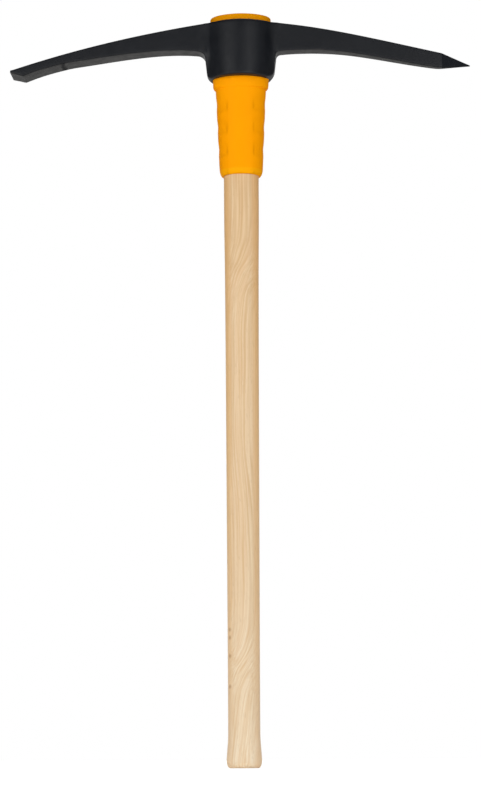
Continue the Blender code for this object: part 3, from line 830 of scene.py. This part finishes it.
        # Painted light: a lighter, warmer tone for the sides of the shaft, by height.
        side = add_node(tree, "ShaderNodeValToRGB", inputs={"Fac": up}, stops=self.side_light_tones)
        colour = wood
        for share, tone in (
            (warm, linear(self.warm_stripe)), (low, wood_low),
            (self._side_light_mask(tree, split), side), (self._ends(tree), linear(self.end_grain)),
            (self._pins(tree, place), linear(self.pin_mark)), (pores, linear(self.pore)),
        ):
            colour = add_node(tree, "ShaderNodeMix", {"data_type": "RGBA"},
                              {"Factor": share, "A": colour, "B": tone}, out="Result")
        return colour

    def _side_light_mask(
        self, tree: bpy.types.NodeTree, split: bpy.types.Node,
    ) -> bpy.types.NodeSocket:
        """Mark the two sides of the shaft, which take painted light.

        Args:
            tree: Node tree that takes the nodes.
            split: Node that gives the place on the shaft as X, Y and Z.

        Returns:
            From 0 on the front and back to the sides' share on them.
        """
        flat = add_node(tree, "ShaderNodeCombineXYZ",
                        inputs={"X": split.outputs["X"], "Y": split.outputs["Y"]})
        facing = add_node(tree, "ShaderNodeVectorMath", {"operation": "NORMALIZE"}, {0: flat})
        turn = add_node(tree, "ShaderNodeSeparateXYZ", inputs={"Vector": facing}, out="X")
        side = add_node(tree, "ShaderNodeMath", {"operation": "ABSOLUTE"}, {0: turn})
        return add_node(tree, "ShaderNodeMapRange", EASED,
                        {"Value": side, **between(self.side_light_edges),
                         "To Max": self.side_light_share})

    def _ends(self, tree: bpy.types.NodeTree) -> bpy.types.NodeSocket:
        """Mark the sawn ends.

        Args:
            tree: Node tree that takes the nodes.

        Returns:
            From 0 along the shaft to the ends' share on them.
        """
        facing = add_node(tree, "ShaderNodeTexCoord", out="Normal")
        up = add_node(tree, "ShaderNodeSeparateXYZ", inputs={"Vector": facing}, out="Z")
        steep = add_node(tree, "ShaderNodeMath", {"operation": "ABSOLUTE"}, {0: up})
        return add_node(tree, "ShaderNodeMapRange", EASED,
                        {"Value": steep, **between(self.end_edges),
                         "To Max": self.end_share})

    def _pins(
        self, tree: bpy.types.NodeTree, place: bpy.types.NodeSocket,
    ) -> bpy.types.NodeSocket:
        """Mark the pin knots.

        Args:
            tree: Node tree that takes the nodes.
            place: Place on the shaft.

        Returns:
            From 0 beside the knots to their share in them.
        """
        marks: object = 0.0
        for pin in self.pins:
            gap = add_node(tree, "ShaderNodeVectorMath", {"operation": "DISTANCE"},
                           {0: place, 1: pin}, out="Value")
            mark = add_node(tree, "ShaderNodeMapRange", EASED,
                            {"Value": gap, "From Min": self.pin_reach, "From Max": 0.0,
                             "To Max": self.pin_share})
            marks = add_node(tree, "ShaderNodeMath", {"operation": "MAXIMUM"},
                             {0: mark, 1: marks})
        return marks


@dataclass(frozen=True)
class MattPaper(Finish):
    """Seamless matt paper on the floor.

    The camera sees it lit up to plain white, and the satin steel that mirrors it sees part of
    that lift. What it throws back on the object is only its own share of the lamps' light, and
    the object's shadow stays on it.
    """

    title: str = "matt_paper"
    colour: str = "f6f2eb"
    colour_deep: str = "f4f0e8"
    fibre_mm: float = 4.0
    roughness: float = 0.9
    specular: float = 0.1
    lift_near: float = 0.6
    lift_far: float = 1.0
    near: float = 0.4
    far: float = 6.0
    gloss_share: float = 0.45

    def dress(self, tree: bpy.types.NodeTree, shader: bpy.types.Node) -> None:
        """Fill the shader's sockets.

        Args:
            tree: Node tree of the material.
            shader: Its Principled shader.
        """
        place = add_node(tree, "ShaderNodeTexCoord", out="Object")
        fibres = add_node(tree, "ShaderNodeTexNoise",
                          inputs={"Vector": Ruler(tree, place).marks(self.fibre_mm),
                                  "Scale": 1.0})
        colour = add_node(tree, "ShaderNodeValToRGB", inputs={"Fac": fibres},
                          stops=tuple(zip(CLOUD_EDGES, (self.colour_deep, self.colour))))
        away = add_node(tree, "ShaderNodeVectorMath", {"operation": "LENGTH"}, {0: place},
                        out="Value")
        lift = add_node(tree, "ShaderNodeMapRange", EASED,
                        {"Value": away, "From Min": self.near, "From Max": self.far,
                         "To Min": self.lift_near, "To Max": self.lift_far})
        ray = add_node(tree, "ShaderNodeLightPath").node
        seen = laid_over(tree, (ray.outputs["Is Camera Ray"], 1.0),
                         (ray.outputs["Is Transmission Ray"], 1.0),
                         (ray.outputs["Is Glossy Ray"], self.gloss_share))
        fill_sockets(tree, shader, {
            "Base Color": colour,
            "Roughness": self.roughness,
            "Specular IOR Level": self.specular,
            "Emission Color": WHITE,
            "Emission Strength": add_node(tree, "ShaderNodeMath", {"operation": "MULTIPLY"},
                                          {0: lift, 1: seen}),
        })


def select_only(piece: bpy.types.Object) -> None:
    """Leave one object selected and active.

    Args:
        piece: The object.
    """
    bpy.ops.object.select_all(action="DESELECT")
    piece.select_set(True)
    bpy.context.view_layer.objects.active = piece


@dataclass
class WorkedPiece:
    """A finer working of one node of the part."""

    node: str
    name: str
    body: Body
    slot: str
    finish: Finish
    # Degrees from which an edge stays crisp, and up to which two triangles join to a quad.
    keen_angle: float = 30.0
    quad_angle: float = 60.0
    levels: int = 2

    def blank(self, frame: dict) -> bpy.types.Object:
        """Copy the node and weld its loose triangles into one skin of quads.


        Returns:
            The copy, with nothing of the node's own marks on it.
        """
        select_only(frame["nodes"][self.node])
        bpy.ops.object.duplicate()
        piece = bpy.context.view_layer.objects.active
        for key in list(piece.keys()):
            del piece[key]
        piece.parent = None
        piece.name = self.name
        piece.data.name = self.name
        piece.data.materials.clear()
        bpy.ops.mesh.customdata_custom_splitnormals_clear()
        bpy.ops.object.mode_set(mode="EDIT")
        bpy.ops.mesh.select_all(action="SELECT")
        bpy.ops.mesh.remove_doubles(threshold=WELD_DISTANCE)
        bpy.ops.mesh.tris_convert_to_quads(
            face_threshold=math.radians(self.quad_angle),
            shape_threshold=math.radians(self.quad_angle),
        )
        bpy.ops.object.mode_set(mode="OBJECT")
        return piece

    def crease_keen_edges(self, piece: bpy.types.Object) -> None:
        """Hold the keen edges of the skin, so that subdivision leaves them crisp.

        Args:
            piece: The welded copy.
        """
        select_only(piece)
        bpy.ops.object.mode_set(mode="EDIT")
        bpy.ops.mesh.select_mode(type="EDGE")
        bpy.ops.mesh.select_all(action="DESELECT")
        bpy.ops.mesh.edges_select_sharp(sharpness=math.radians(self.keen_angle))
        bpy.ops.transform.edge_crease(value=1.0)
        bpy.ops.object.mode_set(mode="OBJECT")

    def round_off(self, piece: bpy.types.Object) -> None:
        """Round the skin between its keen edges by subdivision.

        Args:
            piece: The copy with its keen edges held.
        """
        select_only(piece)
        modifier = piece.modifiers.new("rounding", "SUBSURF")
        modifier.levels = self.levels
        modifier.render_levels = self.levels
        bpy.ops.object.modifier_apply(modifier=modifier.name)
        bpy.ops.object.shade_smooth_by_angle(angle=math.radians(self.keen_angle))

    def work(self, piece: bpy.types.Object) -> None:
        """Shape what only this piece has, before it is rounded off.

        Args:
            piece: The copy with its keen edges held.
        """

    def build(self, frame: dict) -> bpy.types.Object:
        """Make, dress and seat the piece.


        Returns:
            The finished piece.
        """
        piece = self.blank(frame)
        self.crease_keen_edges(piece)
        self.work(piece)
        self.round_off(piece)
        piece.data.materials.append(self.finish.build())
        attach(piece, self.body.value)
        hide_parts(self.node)
        return piece


@dataclass
class PickHead(WorkedPiece):
    """The forged head, with the ground facets of its point."""

    node: str = "pick_head"
    name: str = "forged_head"
    body: Body = Body.HEAD
    slot: str = "forged_steel_black"
    finish: Finish = PowderCoatedForging()
    facets_from_x: float = 0.247
    facet_reach: float = 0.1 * MILLIMETRE

    def work(self, piece: bpy.types.Object) -> None:
        """Sharpen the line where grinding cut the facets of the point.

        Args:
            piece: The copy with its keen edges held.
        """
        points = [
            abs(vertex.co.x - self.facets_from_x) < self.facet_reach
            for vertex in piece.data.vertices
        ]
        for edge in piece.data.edges:
            edge.select = points[edge.vertices[0]] and points[edge.vertices[1]]
        LOG.info("facet line: %d edges", sum(edge.select for edge in piece.data.edges))
        bpy.ops.object.mode_set(mode="EDIT")
        bpy.ops.transform.edge_crease(value=1.0)
        bpy.ops.mesh.mark_sharp()
        bpy.ops.object.mode_set(mode="OBJECT")


@dataclass
class Handle(WorkedPiece):
    """The wooden handle."""

    node: str = "handle"
    name: str = "hickory_handle"
    body: Body = Body.HANDLE
    slot: str = "hickory"
    finish: Finish = LacqueredHickory()


@dataclass
class GuardCollar(WorkedPiece):
    """The moulded collar, whose fine rings need less rounding."""

    node: str = "guard_collar"
    name: str = "moulded_collar"
    body: Body = Body.HANDLE
    slot: str = "collar_polymer"
    finish: Finish = MouldedPolymer()
    levels: int = 1


@dataclass
class Camera:
    """The photographer's place: almost level with the butt, a step to the point's side."""

    distance: float = 2.802
    height: float = 0.010
    yaw: float = 2.4
    tilt: float = 8.691
    roll: float = -0.3
    # The lens draws 2352 pixels to a unit slope on a frame 800 pixels high.
    focal_pixels: float = 2352.0
    frame_height: float = 800.0
    sensor: float = 36.0
    aside_pixels: float = 2.0

    def place(self) -> None:
        """Add the camera and make it the scene's own."""
        data = bpy.data.cameras.new("camera")
        data.sensor_width = self.sensor
        data.lens = self.focal_pixels * self.sensor / self.frame_height
        camera = bpy.data.objects.new("camera", data)
        bpy.context.scene.collection.objects.link(camera)
        yaw = math.radians(self.yaw)
        spot = Vector((math.sin(yaw), -math.cos(yaw), 0.0)) * self.distance
        spot.z = self.height
        aside = math.atan(self.aside_pixels / self.focal_pixels)
        camera.matrix_world = (
            Matrix.Translation(spot)
            @ Matrix.Rotation(yaw + aside, 4, "Z")
            @ Matrix.Rotation(math.radians(90.0 + self.tilt), 4, "X")
            @ Matrix.Rotation(math.radians(self.roll), 4, "Z")
        )
        bpy.context.scene.camera = camera


@dataclass(frozen=True)
class SoftBox:
    """A rectangular studio lamp, which gloss mirrors unless it is veiled."""

    name: str
    place: tuple[float, float, float]
    aim: tuple[float, float, float]
    width: float
    height: float
    watts: float
    veiled: bool = False

    def hang(self) -> None:
        """Add the lamp, turned to what it lights."""
        data = bpy.data.lights.new(self.name, "AREA")
        data.shape = "RECTANGLE"
        data.size = self.width
        data.size_y = self.height
        data.energy = self.watts
        lamp = bpy.data.objects.new(self.name, data)
        lamp.visible_camera = False
        lamp.visible_glossy = not self.veiled
        bpy.context.scene.collection.objects.link(lamp)
        spot = Vector(self.place)
        lamp.location = spot
        lamp.rotation_euler = (Vector(self.aim) - spot).to_track_quat("-Z", "Y").to_euler()


@dataclass
class Studio:
    """A pale sweep behind and under the tool, dark flags beside it and soft lamps round it."""

    paper: Finish = MattPaper()
    floor_size: float = 40.0
    floor_gap: float = 0.0005
    fill_light: float = 0.3
    flag_light: float = 0.03
    sweep_edges: tuple[float, float] = (0.6, 0.9)
    lamps: tuple[SoftBox, ...] = (
        SoftBox("left_box", (-1.73, -2.57, 0.8), (0.0, 0.0, 0.45), 1.4, 2.2, 43.0),
        SoftBox("right_box", (1.46, -2.74, 0.8), (0.0, 0.0, 0.45), 1.1, 2.2, 40.0),
        SoftBox("top_box", (0.2, 0.2, 2.9), (0.0, 0.0, 0.4), 1.6, 1.6, 7.0),
        SoftBox("back_box", (0.0, 3.0, 0.9), (0.0, 0.0, 0.45), 2.4, 2.2, 14.0, veiled=True),
    )

    def lay_floor(self) -> None:
        """Lay a sheet of pale paper just under the butt."""
        bpy.ops.mesh.primitive_plane_add(size=self.floor_size, location=(0, 0, 0))
        floor = bpy.context.view_layer.objects.active
        floor.name = "floor"
        floor.data.transform(Matrix.Translation((0.0, 0.0, -self.floor_gap)))
        floor.data.materials.append(self.paper.build())

    def paint_room(self) -> None:
        """Paint the room: an even soft fill, and the white that the camera and gloss see.

        The camera sees plain white all round. Gloss sees that white where the sweep stands,
        behind the tool, and the dark flags that stand beside it everywhere else.
        """
        world = bpy.data.worlds.new("studio")
        bpy.context.scene.world = world
        world.use_nodes = True
        tree = world.node_tree
        tree.nodes.clear()
        way = add_node(tree, "ShaderNodeTexCoord", out="Generated")
        behind = add_node(tree, "ShaderNodeSeparateXYZ", inputs={"Vector": way}, out="Y")
        mirrored = add_node(tree, "ShaderNodeMapRange", EASED,
                            {"Value": behind, **between(self.sweep_edges),
                             "To Min": self.flag_light})
        ray = add_node(tree, "ShaderNodeLightPath").node.outputs
        soft = add_node(tree, "ShaderNodeMix", {"data_type": "FLOAT"},
                        {"Factor": ray["Is Glossy Ray"], "A": self.fill_light, "B": mirrored},
                        out="Result")
        seen = add_node(tree, "ShaderNodeMath", {"operation": "MAXIMUM"},
                        {0: ray["Is Camera Ray"], 1: ray["Is Transmission Ray"]})
        strength = add_node(tree, "ShaderNodeMix", {"data_type": "FLOAT"},
                            {"Factor": seen, "A": soft, "B": 1.0}, out="Result")
        paint = add_node(tree, "ShaderNodeBackground",
                         inputs={"Color": WHITE, "Strength": strength})
        add_node(tree, "ShaderNodeOutputWorld", inputs={"Surface": paint})

    def set_up(self) -> None:
        """Build the whole studio."""
        self.lay_floor()
        self.paint_room()
        for lamp in self.lamps:
            lamp.hang()
        bpy.context.scene.view_settings.view_transform = "Standard"


def main() -> None:
    """Build the pick round its frame, in its studio."""
    logging.basicConfig(level=logging.INFO)
    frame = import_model()
    Camera().place()
    Studio().set_up()
    for work in (PickHead(), Handle(), GuardCollar()):
        piece = work.build(frame)
        LOG.info("%s: %d faces", piece.name, len(piece.data.polygons))


if __name__ == "__main__":
    main()
